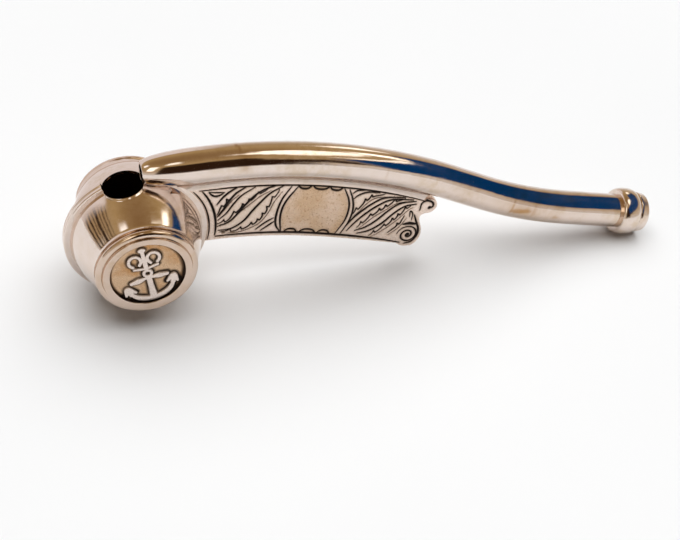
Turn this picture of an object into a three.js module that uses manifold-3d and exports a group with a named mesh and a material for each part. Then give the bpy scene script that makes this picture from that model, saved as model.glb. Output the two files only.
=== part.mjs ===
// Boatswain's call: a metal signalling pipe. A slim curved gun tube blows across the window of a
// hollow round buoy, and a flat keel plate joins the two. Millimetres, +Z up, +X from the buoy to the
// mouthpiece, and the whole call is symmetrical about the plane y = 0.
import * as THREE from 'three';
import { mergeVertices } from 'three/addons/utils/BufferGeometryUtils.js';
import Module from 'manifold-3d';

const wasm = await Module();
wasm.setup();

// ---------------------------------------------------------------- driving dimensions
const FIT_GAP = 0.3;               // between pieces that are soldered together

// Gun tube: a straight muzzle, a long arch over the keel, a short fall, a dip and a straight mouth end
const GUN_RADIUS = 3.46;
const GUN_WALL = 0.55;
const MUZZLE_RADIUS = 2.4;
const MUZZLE_TAPER_LENGTH = 10.6;
const MUZZLE_X = 0.9;              // the open end, measured from the buoy's centre
const MUZZLE_LIFT = 0.53;          // muzzle centre above the band's top
const MUZZLE_ANGLE = 0.86;         // degrees above level
const MUZZLE_RUN = 12.5;
const ARCH_RADIUS = 108.6;
const ARCH_LENGTH = 50.1;
const FALL_RUN = 8.7;
const DIP_RADIUS = 87.1;
const DIP_LENGTH = 20.4;
const MOUTH_RUN = 17.6;            // straight end, up to the tube's cut end

// Mouthpiece rings, both turned and slid over the tube
const BEAD_HEIGHT = 1.39;          // proud of the tube
const BEAD_EDGE_HEIGHT = 0.59;
const BEAD_WIDTH = 4.4;
const LIP_HEIGHT = 0.49;
const LIP_WIDTH = 2.1;
const LIP_ROUNDING = 0.55;
const LIP_FACE_THICKNESS = 0.6;

// Buoy: a flat band with a domed conical shell on each side, closed by a cap
const BAND_RADIUS = 13.6;
const BAND_THICKNESS = 2.0;
const BAND_FLANGE = 1.1;           // how far the band stands out past the shells
const BAND_LEDGE = 0.7;            // how far it reaches inside their walls
const SHELL_NECK_RADIUS = 9.25;
const SHELL_DEPTH = 8.9;
const SHELL_BULGE = 0.36;          // how far the shell stands proud of a straight cone
const SHELL_WALL = 0.8;
const CAP_OVERHANG = 0.25;         // cap bead past the shell's neck
const CAP_BEAD_HEIGHT = 0.95;
const CAP_BEAD_WIDTH = 1.35;
const CAP_DEPTH = 1.75;
const CAP_RING_WIDTH = 1.45;       // the flat ring on the cap's face
const CAP_SEAT_WIDTH = 0.9;
const CAP_SEAT_THICKNESS = 0.5;
const MEDALLION_THICKNESS = 0.45;
const RELIEF_HEIGHT = 0.3;
const WINDOW_RADIUS = 3.95;
const WINDOW_UNDER_MUZZLE = 0.45;  // how far the window runs under the gun's open end

// Saddle that carries the gun, and the keel plate below it
const SADDLE_HEIGHT = 1.39;        // from the gun's underside down to the saddle's foot
const SADDLE_HALF_WIDTH = 2.0;
const SADDLE_FOOT_LIP = 0.15;      // saddle's foot past each face of the keel
const SADDLE_EDGE_SHARE = 0.92;    // the saddle's upper edge, as a share of the gun's radius
const SADDLE_BURIED_SHARE = 0.7;   // where its flanks end, up inside the cut-out for the gun
const KEEL_THICKNESS = 2.0;
const KEEL_DEPTH = 17.65;          // gun centreline to the keel's lower edge
const KEEL_LENGTH = 60.7;          // along the centreline, from the muzzle to the scroll's middle
const KEEL_RISE = 1.5;             // how far the lower edge has risen by the scroll
const SCROLL_RADIUS = 2.95;
const SCROLL_SAG = 0.5;            // scroll below the lower edge
const VOLUTE_RADIUS = 1.78;
const VOLUTE_CLEARANCE = 0.76;     // volute below the gun's underside
const VOLUTE_LEAD = 0.7;           // volute past the scroll, along the centreline
const NOTCH_LEAD = -0.3;
const NOTCH_DEPTH = 2.4;           // below the volute's middle

// Sizes that follow from those
const BORE_FIT_RADIUS = GUN_RADIUS + FIT_GAP;
const MUZZLE_HEIGHT = BAND_RADIUS + MUZZLE_LIFT;
const LIP_FACE = FIT_GAP + LIP_FACE_THICKNESS;
const BEAD_RADIUS = GUN_RADIUS + BEAD_HEIGHT;
const BEAD_SETBACK = LIP_WIDTH - LIP_FACE + FIT_GAP + BEAD_WIDTH / 2;
const SHELL_BASE_RADIUS = BAND_RADIUS - BAND_FLANGE;
const BAND_INNER_RADIUS = SHELL_BASE_RADIUS - SHELL_WALL - BAND_LEDGE;
const SHELL_START = BAND_THICKNESS / 2 + FIT_GAP;
const CAP_START = SHELL_START + SHELL_DEPTH + FIT_GAP;
const CAP_RADIUS = SHELL_NECK_RADIUS + CAP_OVERHANG;
const CAP_FACE_RADIUS = CAP_RADIUS - CAP_BEAD_HEIGHT;
const CAP_BORE_RADIUS = CAP_FACE_RADIUS - CAP_RING_WIDTH;
const CAP_SEAT_RADIUS = CAP_BORE_RADIUS - CAP_SEAT_WIDTH;
const SADDLE_DEPTH = GUN_RADIUS + SADDLE_HEIGHT;
const SADDLE_FOOT_HALF_WIDTH = KEEL_THICKNESS / 2 + SADDLE_FOOT_LIP;
const SCROLL_DROP = KEEL_DEPTH - KEEL_RISE - SCROLL_RADIUS + SCROLL_SAG;
const VOLUTE_S = KEEL_LENGTH + VOLUTE_LEAD;
const VOLUTE_DROP = GUN_RADIUS + VOLUTE_CLEARANCE + VOLUTE_RADIUS;
const WINDOW_SHIFT = WINDOW_RADIUS - WINDOW_UNDER_MUZZLE - MUZZLE_X;

// Facets
const BUOY_SEGMENTS = 52;
const CAP_SEGMENTS = 40;
const TUBE_SIDES = 16;
const BEAD_SEGMENTS = 28;
const BEAD_STEPS = 8;              // across a bead's rounded section
const LIP_STEPS = 4;
const SHELL_STEPS = 6;
const SCROLL_SEGMENTS = 28;
const VOLUTE_SEGMENTS = 22;
const TUBE_STEP = 2.6;

// ---------------------------------------------------------------- the gun's centreline
const gunStretches = [
  { length: MUZZLE_RUN, bend: 0 },
  { length: ARCH_LENGTH, bend: -1 / ARCH_RADIUS },
  { length: FALL_RUN, bend: 0 },
  { length: DIP_LENGTH, bend: 1 / DIP_RADIUS },
  { length: MOUTH_RUN, bend: 0 },
];
const GUN_LENGTH = gunStretches.reduce((sum, stretch) => sum + stretch.length, 0);

// Point and heading at distance s from the muzzle; straight on past either end.
function gunAt(s) {
  let x = MUZZLE_X;
  let z = MUZZLE_HEIGHT;
  let heading = THREE.MathUtils.degToRad(MUZZLE_ANGLE);
  let left = s;
  gunStretches.forEach(({ length, bend }, index) => {
    const last = index === gunStretches.length - 1;
    const run = last ? left : Math.min(left, length);
    const turned = heading + bend * run;
    if (bend === 0) {
      x += run * Math.cos(heading);
      z += run * Math.sin(heading);
    } else {
      x += (Math.sin(turned) - Math.sin(heading)) / bend;
      z += (Math.cos(heading) - Math.cos(turned)) / bend;
    }
    heading = turned;
    left -= run;
  });
  return { x, z, heading };
}

// The point a distance "above" the centreline, square to it, in the plane y = 0.
function besideGun(s, above) {
  const { x, z, heading } = gunAt(s);
  return new THREE.Vector2(x - above * Math.sin(heading), z + above * Math.cos(heading));
}

function gunRadius(s) {
  const share = THREE.MathUtils.clamp(s / MUZZLE_TAPER_LENGTH, 0, 1);
  return GUN_RADIUS - (GUN_RADIUS - MUZZLE_RADIUS) * (1 - share) ** 2;
}

// ---------------------------------------------------------------- solids
function solidFrom(geometry) {
  geometry.deleteAttribute('normal');
  geometry.deleteAttribute('uv');
  const merged = mergeVertices(geometry, 1e-4);
  return new wasm.Manifold(new wasm.Mesh({
    numProp: 3,
    vertProperties: new Float32Array(merged.attributes.position.array),
    triVerts: new Uint32Array(merged.index.array),
  }));
}

function geometryFrom(solid) {
  const { vertProperties, triVerts } = solid.getMesh();
  const geometry = new THREE.BufferGeometry();
  geometry.setAttribute('position', new THREE.BufferAttribute(new Float32Array(vertProperties), 3));
  geometry.setIndex(new THREE.BufferAttribute(new Uint32Array(triVerts), 1));
  return geometry;
}

// A solid swept along the gun. section(s) lists [y, above] points, anticlockwise seen from the muzzle
// with y to the left, and always as many of them.
function sweptSolid(stations, section) {
  const rings = stations.map((s) => section(s).map(([y, above]) => {
    const point = besideGun(s, above);
    return [point.x, y, point.y];
  }));
  const count = rings[0].length;
  const index = [];
  for (let i = 0; i + 1 < rings.length; i += 1) {
    for (let j = 0; j < count; j += 1) {
      const next = (j + 1) % count;
      const [a, b, c, d] = [i * count + j, i * count + next, (i + 1) * count + next, (i + 1) * count + j];
      index.push(a, b, c, a, c, d);
    }
  }
  const endCap = (ring, s, flip) => {
    const flat = section(s).map(([y, above]) => new THREE.Vector2(y, above));
    THREE.ShapeUtils.triangulateShape(flat, []).forEach(([a, b, c]) => {
      const face = flip ? [c, b, a] : [a, b, c];
      index.push(...face.map((k) => ring * count + k));
    });
  };
  endCap(0, stations[0], true);
  endCap(rings.length - 1, stations.at(-1), false);
  const geometry = new THREE.BufferGeometry();
  geometry.setAttribute('position', new THREE.Float32BufferAttribute(rings.flat(2), 3));
  geometry.setIndex(index);
  const solid = solidFrom(geometry);
  if (solid.volume() > 0) return solid;
  geometry.setIndex(index.reverse());
  return solidFrom(geometry);
}

function stationsBetween(from, to, step) {
  const count = Math.ceil((to - from) / step);
  return Array.from({ length: count + 1 }, (_, i) => from + ((to - from) * i) / count);
}

function circleSection(radiusAt) {
  return (s) => Array.from({ length: TUBE_SIDES }, (_, k) => {
    const turn = (2 * Math.PI * (k + 0.5)) / TUBE_SIDES;
    return [radiusAt(s) * Math.cos(turn), radiusAt(s) * Math.sin(turn)];
  });
}

// A closed [radius, along] profile turned about the Y axis.
function turnedGeometry(profile, segments) {
  const closed = [...profile, profile[0]].map(([radius, along]) => new THREE.Vector2(radius, along));
  return new THREE.LatheGeometry(closed, segments);
}

// Turned about the buoy's axis; side is +1 for the far half and -1 for the near half.
function turnedOnBuoy(profile, segments, side) {
  const geometry = turnedGeometry(profile, segments);
  if (side < 0) geometry.rotateX(Math.PI);
  return solidFrom(geometry);
}

// Turned about the gun's centreline, with "along" measured from distance s on it.
function turnedOnGun(profile, s) {
  const { x, z, heading } = gunAt(s);
  const geometry = turnedGeometry(profile, BEAD_SEGMENTS);
  geometry.rotateZ(-Math.PI / 2);
  geometry.rotateY(-heading);
  geometry.translate(x, 0, z);
  return solidFrom(geometry);
}

// A flat outline of [x, z] points given a thickness about the plane y = 0.
function plateSolid(outline, thickness) {
  const shape = new THREE.Shape(outline.map((point) => new THREE.Vector2(point.x, point.y)));
  const geometry = new THREE.ExtrudeGeometry(shape, { depth: thickness, bevelEnabled: false });
  geometry.translate(0, 0, -thickness / 2);
  geometry.rotateX(Math.PI / 2);
  return solidFrom(geometry);
}

// Angles from a quarter turn below to a quarter turn above, for a bead's rounded section.
function arcShares(steps) {
  return Array.from({ length: steps + 1 }, (_, i) => -Math.PI / 2 + (Math.PI * i) / steps);
}

function arcPoints(centre, radius, from, to, count) {
  return Array.from({ length: count + 1 }, (_, i) => {
    const turn = from + ((to - from) * i) / count;
    return new THREE.Vector2(centre.x + radius * Math.cos(turn), centre.y + radius * Math.sin(turn));
  });
}

// ---------------------------------------------------------------- cutters
function gunClearance() {
  const reach = stationsBetween(-FIT_GAP, KEEL_LENGTH + SCROLL_RADIUS, TUBE_STEP);
  return sweptSolid(reach, circleSection((s) => gunRadius(s) + FIT_GAP));
}

function windowCutter() {
  const height = BAND_RADIUS + FIT_GAP;
  const geometry = new THREE.CylinderGeometry(WINDOW_RADIUS, WINDOW_RADIUS, height, BUOY_SEGMENTS / 2);
  geometry.rotateX(Math.PI / 2);
  geometry.translate(0, 0, height / 2 + SHELL_NECK_RADIUS - WINDOW_RADIUS);
  geometry.rotateY(-Math.asin(WINDOW_SHIFT / BAND_RADIUS));
  return solidFrom(geometry);
}

// ---------------------------------------------------------------- pieces
function gunTube() {
  const stations = stationsBetween(0, GUN_LENGTH, TUBE_STEP);
  const outside = sweptSolid(stations, circleSection(gunRadius));
  const through = stationsBetween(-GUN_WALL, GUN_LENGTH + GUN_WALL, TUBE_STEP);
  return outside.subtract(sweptSolid(through, circleSection((s) => gunRadius(s) - GUN_WALL)));
}

function mouthpieceBead() {
  const half = BEAD_WIDTH / 2;
  const edge = GUN_RADIUS + BEAD_EDGE_HEIGHT;
  const swell = arcShares(BEAD_STEPS).map((turn) =>
    [edge + (BEAD_RADIUS - edge) * Math.cos(turn), half * Math.sin(turn)]);
  const profile = [[BORE_FIT_RADIUS, -half], ...swell, [BORE_FIT_RADIUS, half]];
  return turnedOnGun(profile, GUN_LENGTH - BEAD_SETBACK);
}

function mouthpieceLip() {
  const mouth = GUN_RADIUS - GUN_WALL;
  const radius = GUN_RADIUS + LIP_HEIGHT;
  const back = LIP_FACE - LIP_WIDTH;
  const rounded = Array.from({ length: LIP_STEPS + 1 }, (_, i) => {
    const turn = (Math.PI / 2) * (i / LIP_STEPS);
    const inset = LIP_ROUNDING * (1 - Math.cos(turn));
    return [radius - inset, LIP_FACE - LIP_ROUNDING * (1 - Math.sin(turn))];
  });
  return turnedOnGun([[BORE_FIT_RADIUS, back], [radius, back], ...rounded,
    [mouth, LIP_FACE], [mouth, FIT_GAP], [BORE_FIT_RADIUS, FIT_GAP]], GUN_LENGTH);
}

function buoyBand() {
  const half = BAND_THICKNESS / 2;
  const ring = [[BAND_INNER_RADIUS, -half], [BAND_RADIUS, -half], [BAND_RADIUS, half],
    [BAND_INNER_RADIUS, half]];
  return turnedOnBuoy(ring, BUOY_SEGMENTS, 1).subtract(windowCutter()).subtract(gunClearance());
}

function buoyShell(side) {
  const curve = (inset) => Array.from({ length: SHELL_STEPS + 1 }, (_, i) => {
    const share = i / SHELL_STEPS;
    const cone = SHELL_BASE_RADIUS + (SHELL_NECK_RADIUS - SHELL_BASE_RADIUS) * share;
    return [cone + 4 * SHELL_BULGE * share * (1 - share) - inset, SHELL_START + SHELL_DEPTH * share];
  });
  const profile = [...curve(0), ...curve(SHELL_WALL).reverse()];
  const shell = turnedOnBuoy(profile, BUOY_SEGMENTS, side);
  return shell.subtract(windowCutter()).subtract(gunClearance());
}

function capRim(side) {
  const face = CAP_START + CAP_DEPTH;
  const seat = CAP_START + CAP_SEAT_THICKNESS;
  const bead = arcShares(BEAD_STEPS).map((turn) => [
    CAP_FACE_RADIUS + (CAP_RADIUS - CAP_FACE_RADIUS) * Math.cos(turn),
    CAP_START + (CAP_BEAD_WIDTH / 2) * (1 + Math.sin(turn)),
  ]);
  return turnedOnBuoy([[CAP_SEAT_RADIUS, CAP_START], ...bead, [CAP_FACE_RADIUS, face],
    [CAP_BORE_RADIUS, face], [CAP_BORE_RADIUS, seat], [CAP_SEAT_RADIUS, seat]], CAP_SEGMENTS, side);
}

// A plain anchor: shank, stock, curved arms and an eye, each its own outline.
function anchorOutlines(reach) {
  const bar = (width, height, x, z) => [[-1, -1], [1, -1], [1, 1], [-1, 1]].map(([sx, sz]) =>
    new THREE.Vector2(x + (sx * width) / 2, z + (sz * height) / 2));
  const armCentre = new THREE.Vector2(0, reach * 0.05);
  const outer = arcPoints(armCentre, reach * 0.78, Math.PI * 1.12, Math.PI * 1.88, 10);
  const inner = arcPoints(armCentre, reach * 0.56, Math.PI * 1.88, Math.PI * 1.12, 10);
  const eye = arcPoints(new THREE.Vector2(0, reach * 0.72), reach * 0.17, 0, 2 * Math.PI, 12).slice(0, 12);
  return [bar(reach * 0.18, reach * 1.25, 0, 0), bar(reach * 0.95, reach * 0.16, 0, reach * 0.38),
    [...outer, ...inner], eye];
}

function medallion(side) {
  const back = CAP_START + CAP_SEAT_THICKNESS + FIT_GAP;
  const front = back + MEDALLION_THICKNESS;
  const radius = CAP_BORE_RADIUS - FIT_GAP;
  let disc = turnedOnBuoy([[0, back], [radius, back], [radius, front], [0, front]], CAP_SEGMENTS, side);
  const thickness = MEDALLION_THICKNESS / 2 + RELIEF_HEIGHT;
  const middle = front + RELIEF_HEIGHT - thickness / 2;
  anchorOutlines(radius * 0.8).forEach((outline) => {
    disc = disc.add(plateSolid(outline, thickness).translate([0, side * middle, 0]));
  });
  return disc;
}

function gunSaddle() {
  const to = VOLUTE_S - VOLUTE_RADIUS - FIT_GAP;
  const waist = (GUN_RADIUS + SADDLE_DEPTH) / 2;
  const waistHalfWidth = (SADDLE_HALF_WIDTH + 2 * SADDLE_FOOT_HALF_WIDTH) / 3;
  const rightSide = [[SADDLE_FOOT_HALF_WIDTH, -SADDLE_DEPTH], [waistHalfWidth, -waist],
    [SADDLE_HALF_WIDTH, -GUN_RADIUS * SADDLE_EDGE_SHARE],
    [SADDLE_HALF_WIDTH, -GUN_RADIUS * SADDLE_BURIED_SHARE]];
  const leftSide = rightSide.map(([y, above]) => [-y, above]).reverse();
  const strip = sweptSolid(stationsBetween(0, to, TUBE_STEP), () => [...rightSide, ...leftSide]);
  return strip.subtract(gunClearance()).subtract(bandClearance());
}

// The round space that the band takes out of the keel and the saddle.
function bandClearance() {
  const geometry = new THREE.CylinderGeometry(BAND_RADIUS + FIT_GAP, BAND_RADIUS + FIT_GAP,
    4 * SADDLE_HALF_WIDTH, BUOY_SEGMENTS);
  return solidFrom(geometry);
}

function keelPlate() {
  const top = -(SADDLE_DEPTH + FIT_GAP);
  const scroll = besideGun(KEEL_LENGTH, -SCROLL_DROP);
  const volute = besideGun(VOLUTE_S, -VOLUTE_DROP);
  const notch = besideGun(KEEL_LENGTH + NOTCH_LEAD, -VOLUTE_DROP - NOTCH_DEPTH);
  const lowerEdge = (s) => {
    const share = THREE.MathUtils.clamp(2 * s / KEEL_LENGTH - 1, 0, 1);
    return besideGun(s, -KEEL_DEPTH + KEEL_RISE * share ** 3);
  };
  const along = stationsBetween(0, KEEL_LENGTH, TUBE_STEP);
  const upperEdge = along.filter((s) => s < VOLUTE_S - VOLUTE_RADIUS).map((s) => besideGun(s, top));
  const scrollSide = new THREE.Vector2(scroll.x + SCROLL_RADIUS, scroll.y);
  const scrollFoot = new THREE.Vector2(scroll.x, scroll.y - SCROLL_RADIUS);
  const lowerRun = along.slice(0, -1).map(lowerEdge).reverse();
  const outline = [...upperEdge, volute, notch, scrollSide, scroll, scrollFoot, ...lowerRun];
  const round = (centre, radius, count) =>
    plateSolid(arcPoints(centre, radius, 0, 2 * Math.PI, count).slice(0, count), KEEL_THICKNESS);
  return plateSolid(outline.reverse(), KEEL_THICKNESS)
    .add(round(scroll, SCROLL_RADIUS, SCROLL_SEGMENTS))
    .add(round(volute, VOLUTE_RADIUS, VOLUTE_SEGMENTS))
    .subtract(bandClearance());
}

// ---------------------------------------------------------------- assembly
const finishes = {
  polished: { color: 0xcfc6b8, roughness: 0.12, metalness: 1 },
  engraved: { color: 0xb9ab99, roughness: 0.35, metalness: 1 },
  antiqued: { color: 0x9a7d5c, roughness: 0.4, metalness: 1 },
};

function pieceMesh(name, solid, finish) {
  const mesh = new THREE.Mesh(geometryFrom(solid), new THREE.MeshStandardMaterial(finishes[finish]));
  mesh.name = name;
  return mesh;
}

const call = new THREE.Group();
call.add(
  pieceMesh('gun_tube', gunTube(), 'polished'),
  pieceMesh('mouthpiece_bead', mouthpieceBead(), 'polished'),
  pieceMesh('mouthpiece_lip', mouthpieceLip(), 'polished'),
  pieceMesh('gun_saddle', gunSaddle(), 'polished'),
  pieceMesh('keel_plate', keelPlate(), 'engraved'),
  pieceMesh('buoy_band', buoyBand(), 'polished'),
);
[['near', -1], ['far', 1]].forEach(([name, side]) => call.add(
  pieceMesh(`${name}_shell`, buoyShell(side), 'polished'),
  pieceMesh(`${name}_cap_rim`, capRim(side), 'polished'),
  pieceMesh(`${name}_medallion`, medallion(side), 'antiqued'),
));

// The call rests on the band's lowest edge and the bead, so it is tilted until both touch the floor.
const beadCentre = gunAt(GUN_LENGTH - BEAD_SETBACK);
const beadDrop = BEAD_RADIUS - beadCentre.z - BAND_RADIUS;
call.rotation.y = -Math.asin(beadDrop / Math.hypot(beadCentre.x, beadCentre.z));

const whistle = new THREE.Group();
whistle.add(call);
whistle.updateMatrixWorld(true);
const extent = new THREE.Box3().setFromObject(whistle, true);
const middle = extent.getCenter(new THREE.Vector3());
call.position.set(-middle.x, -middle.y, -extent.min.z);
whistle.updateMatrixWorld(true);

export default whistle;
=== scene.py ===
# %% [markdown]
# # A boatswain's call, built step by step
# A boatswain's call is a small metal signalling pipe. The player blows down the slim curved "gun",
# the air stream crosses the window of a hollow "buoy", and a flat "keel" joins the two.
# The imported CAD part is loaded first, because it gives every size and place. Each piece below is
# then worked out again with smooth surfaces and engraved detail, in metres, in that same frame.

import bmesh
import bpy
import numpy as np
from mathutils import Matrix, Vector


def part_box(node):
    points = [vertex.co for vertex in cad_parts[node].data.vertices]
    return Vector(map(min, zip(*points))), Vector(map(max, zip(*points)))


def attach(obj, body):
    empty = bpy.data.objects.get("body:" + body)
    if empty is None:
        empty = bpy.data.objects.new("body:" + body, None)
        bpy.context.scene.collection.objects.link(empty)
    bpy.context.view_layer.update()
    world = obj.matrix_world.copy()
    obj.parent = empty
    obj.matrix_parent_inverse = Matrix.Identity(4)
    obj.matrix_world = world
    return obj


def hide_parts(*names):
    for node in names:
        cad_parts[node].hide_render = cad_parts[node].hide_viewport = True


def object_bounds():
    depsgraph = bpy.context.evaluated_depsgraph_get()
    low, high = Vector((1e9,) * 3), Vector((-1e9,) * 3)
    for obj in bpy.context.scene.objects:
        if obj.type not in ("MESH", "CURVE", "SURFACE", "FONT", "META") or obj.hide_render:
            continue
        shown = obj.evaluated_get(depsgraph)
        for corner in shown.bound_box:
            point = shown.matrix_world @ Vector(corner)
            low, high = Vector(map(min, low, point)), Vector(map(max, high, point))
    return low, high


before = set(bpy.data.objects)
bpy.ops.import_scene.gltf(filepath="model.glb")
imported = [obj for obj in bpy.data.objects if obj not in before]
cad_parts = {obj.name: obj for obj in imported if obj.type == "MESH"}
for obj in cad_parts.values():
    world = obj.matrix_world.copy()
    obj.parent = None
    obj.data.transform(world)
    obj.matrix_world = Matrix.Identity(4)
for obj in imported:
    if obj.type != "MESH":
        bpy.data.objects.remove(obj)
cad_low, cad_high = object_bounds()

print("CAD nodes:", sorted(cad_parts))
print("CAD box in metres:", [round(v, 4) for v in (*cad_low, *cad_high)])

# %% [markdown]
# ## The camera
# A camera looks along its own -Z, with +Y up in the picture. Three unit vectors say how it is
# turned: back (from the object to the camera), right and up. They are worked out from an azimuth,
# an elevation and a roll, which are easier to read than a matrix. A long lens, used from further off,
# flattens the perspective and keeps a small object's proportions natural.

# %% Camera
CAMERA_PLACE = (-0.0886, -0.2181, 0.1974)
CAMERA_AZIMUTH, CAMERA_ELEVATION, CAMERA_ROLL = np.radians([-20.85, 40.53, 6.93])
CAMERA_LENS = 80.6

back = np.array([np.sin(CAMERA_AZIMUTH) * np.cos(CAMERA_ELEVATION),
                 -np.cos(CAMERA_AZIMUTH) * np.cos(CAMERA_ELEVATION), np.sin(CAMERA_ELEVATION)])
level_right = np.array([np.cos(CAMERA_AZIMUTH), np.sin(CAMERA_AZIMUTH), 0.0])
level_up = np.cross(back, level_right)
right = np.cos(CAMERA_ROLL) * level_right + np.sin(CAMERA_ROLL) * level_up
up = np.cross(back, right)

camera = bpy.data.objects.new("camera", bpy.data.cameras.new("camera"))
bpy.context.scene.collection.objects.link(camera)
camera.matrix_world = Matrix.Translation(CAMERA_PLACE) @ Matrix(np.array([right, up, back]).T).to_4x4()
camera.data.lens = CAMERA_LENS
camera.data.clip_start = 0.01
bpy.context.scene.camera = camera
print("camera at", CAMERA_PLACE, "with a lens of", CAMERA_LENS, "mm")

# %% [markdown]
# ## The call's own coordinates
# The part is designed round the buoy: x runs towards the mouthpiece, z up, y from the near cap to
# the far cap, all in millimetres from the buoy's centre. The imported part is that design, turned a
# little so that the band and the mouthpiece bead both touch the floor. `in_frame` makes the same
# turn and shift on whole arrays, so the rest of the script can think in the maker's millimetres.

# %% From the call's millimetres to the frame's metres
MM = 0.001
BAND_RADIUS = 13.6
TILT = -0.007956

rim_low, rim_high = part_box("near_cap_rim")
buoy_centre = np.array([(rim_low.x + rim_high.x) / 2, 0.0, (rim_low.z + rim_high.z) / 2])


def in_frame(x, y, z):
    """x and z turned by the tilt about Y, scaled to metres and moved to the buoy's centre."""
    x, y, z = np.broadcast_arrays(x, y, z)
    turned_x, turned_z = np.cos(TILT) * x + np.sin(TILT) * z, np.cos(TILT) * z - np.sin(TILT) * x
    return np.stack([turned_x, y, turned_z], axis=-1) * MM + buoy_centre


print("buoy centre in the frame:", buoy_centre.round(5))

# %% [markdown]
# ## The gun's centreline
# The gun is bent from five stretches: straight, an arch, straight, a dip and straight again. Along
# an arc the heading changes evenly, and integrating its cosine and sine gives x and z. Everything
# on the keel also follows this line, so a place is often given as (s, n): s along the centreline
# from the muzzle, n square to it, positive upwards.

# %% Centreline as whole arrays
GUN_STRETCHES = [(12.5, 0.0), (50.1, -1 / 108.6), (8.7, 0.0), (20.4, 1 / 87.1), (17.6, 0.0)]
GUN_LENGTH = sum(length for length, bend in GUN_STRETCHES)
MUZZLE = (0.9, BAND_RADIUS + 0.53)
MUZZLE_HEADING = np.radians(0.86)
GUN_RADIUS, MUZZLE_RADIUS, TAPER_LENGTH = 3.46, 2.4, 10.6


def gun_line(s):
    """x, z and heading at s: each stretch adds an arc (or a line) for the part of s inside it."""
    s = np.asarray(s, float)
    x, z, start, heading = MUZZLE[0] + 0 * s, MUZZLE[1] + 0 * s, 0.0, MUZZLE_HEADING
    heading_at = heading + 0 * s
    for i, (length, bend) in enumerate(GUN_STRETCHES):
        low = -np.inf if i == 0 else 0.0
        high = np.inf if i == len(GUN_STRETCHES) - 1 else length
        run = np.clip(s - start, low, high)
        if bend:
            x = x + (np.sin(heading + bend * run) - np.sin(heading)) / bend
            z = z + (np.cos(heading) - np.cos(heading + bend * run)) / bend
        else:
            x, z = x + run * np.cos(heading), z + run * np.sin(heading)
        heading_at = heading_at + bend * run
        heading, start = heading + bend * length, start + length
    return x, z, heading_at


def beside_gun(s, n):
    """x and z of the point n square to the centreline at s."""
    x, z, heading = gun_line(s)
    return x - n * np.sin(heading), z + n * np.cos(heading)


def along_gun(x, z):
    """(s, n) of points: start at s = x and step along the tangent until the offset is square."""
    s = np.array(x, float)
    for _ in range(30):
        line_x, line_z, heading = gun_line(s)
        s = s + 0.8 * ((x - line_x) * np.cos(heading) + (z - line_z) * np.sin(heading))
    line_x, line_z, heading = gun_line(s)
    return s, (z - line_z) * np.cos(heading) - (x - line_x) * np.sin(heading)


def gun_radius(s):
    """Full radius, narrowing towards the muzzle with the square of the share still to go."""
    left = 1 - np.clip(np.asarray(s, float) / TAPER_LENGTH, 0, 1)
    return GUN_RADIUS - (GUN_RADIUS - MUZZLE_RADIUS) * left ** 2


print("gun length", round(GUN_LENGTH, 1), "mm, its end at", np.round(beside_gun(GUN_LENGTH, 0), 2))

# %% [markdown]
# ## Turning a grid of points into a mesh
# Every piece is a grid: rows along one parameter, columns along another. Neighbouring points make
# quads. Where a grid closes on itself its first and last points lie in the same place, so merging
# doubles stitches the seam shut. Smooth shading hides the facets, and edges sharper than a limit
# keep a crisp break.

# %% Mesh helpers
MERGE_DISTANCE = 2e-7
SHARP_ANGLE = np.radians(48)


def grid_faces(rows, columns):
    """The four corner numbers of each cell of a grid that is numbered along its rows."""
    first = np.arange(rows - 1)[:, None] * columns + np.arange(columns - 1)
    return np.stack([first, first + 1, first + columns + 1, first + columns], axis=-1).reshape(-1, 4)


def finish_mesh(edit, mesh):
    """Face normals outward, then smooth shading with the sharp edges kept. Prints the triangles, the
    open edges and the volume, as a check that the surface is closed."""
    bmesh.ops.recalc_face_normals(edit, faces=edit.faces)
    open_edges = sum(not edge.is_manifold for edge in edit.edges)
    volume = edit.calc_volume(signed=True)
    if volume < 0:
        bmesh.ops.reverse_faces(edit, faces=edit.faces)
    triangles = sum(len(face.verts) - 2 for face in edit.faces)
    edit.to_mesh(mesh)
    edit.free()
    mesh.polygons.foreach_set("use_smooth", np.ones(len(mesh.polygons), bool))
    mesh.set_sharp_from_angle(angle=SHARP_ANGLE)
    print(f"{mesh.name}: {triangles} triangles, {open_edges} open edges, {abs(volume) * 1e9:.1f} mm3")


def grid_piece(name, points, fields=None, lids=()):
    """Object from a (rows, columns, 3) grid. fields are numbers kept at each point, by name. lids are
    extra many-sided faces, each a list of point numbers."""
    faces = grid_faces(*points.shape[:2])
    corners = np.concatenate([faces.ravel(), *lids]).astype(np.int32)
    sizes = np.concatenate([np.full(len(faces), 4), [len(lid) for lid in lids]]).astype(np.int32)
    mesh = bpy.data.meshes.new(name)
    mesh.vertices.add(points.shape[0] * points.shape[1])
    mesh.vertices.foreach_set("co", points.astype(np.float32).ravel())
    mesh.loops.add(len(corners))
    mesh.loops.foreach_set("vertex_index", corners)
    mesh.polygons.add(len(sizes))
    mesh.polygons.foreach_set("loop_start", np.concatenate([[0], np.cumsum(sizes)[:-1]]).astype(np.int32))
    for field, values in (fields or {}).items():
        layer = mesh.attributes.new(field, "FLOAT", "POINT")
        layer.data.foreach_set("value", values.astype(np.float32).ravel())
    mesh.update(calc_edges=True)
    stitched = bmesh.new()
    stitched.from_mesh(mesh)
    bmesh.ops.remove_doubles(stitched, verts=stitched.verts, dist=MERGE_DISTANCE)
    finish_mesh(stitched, mesh)
    piece = bpy.data.objects.new(name, mesh)
    bpy.context.scene.collection.objects.link(piece)
    return piece


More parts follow.
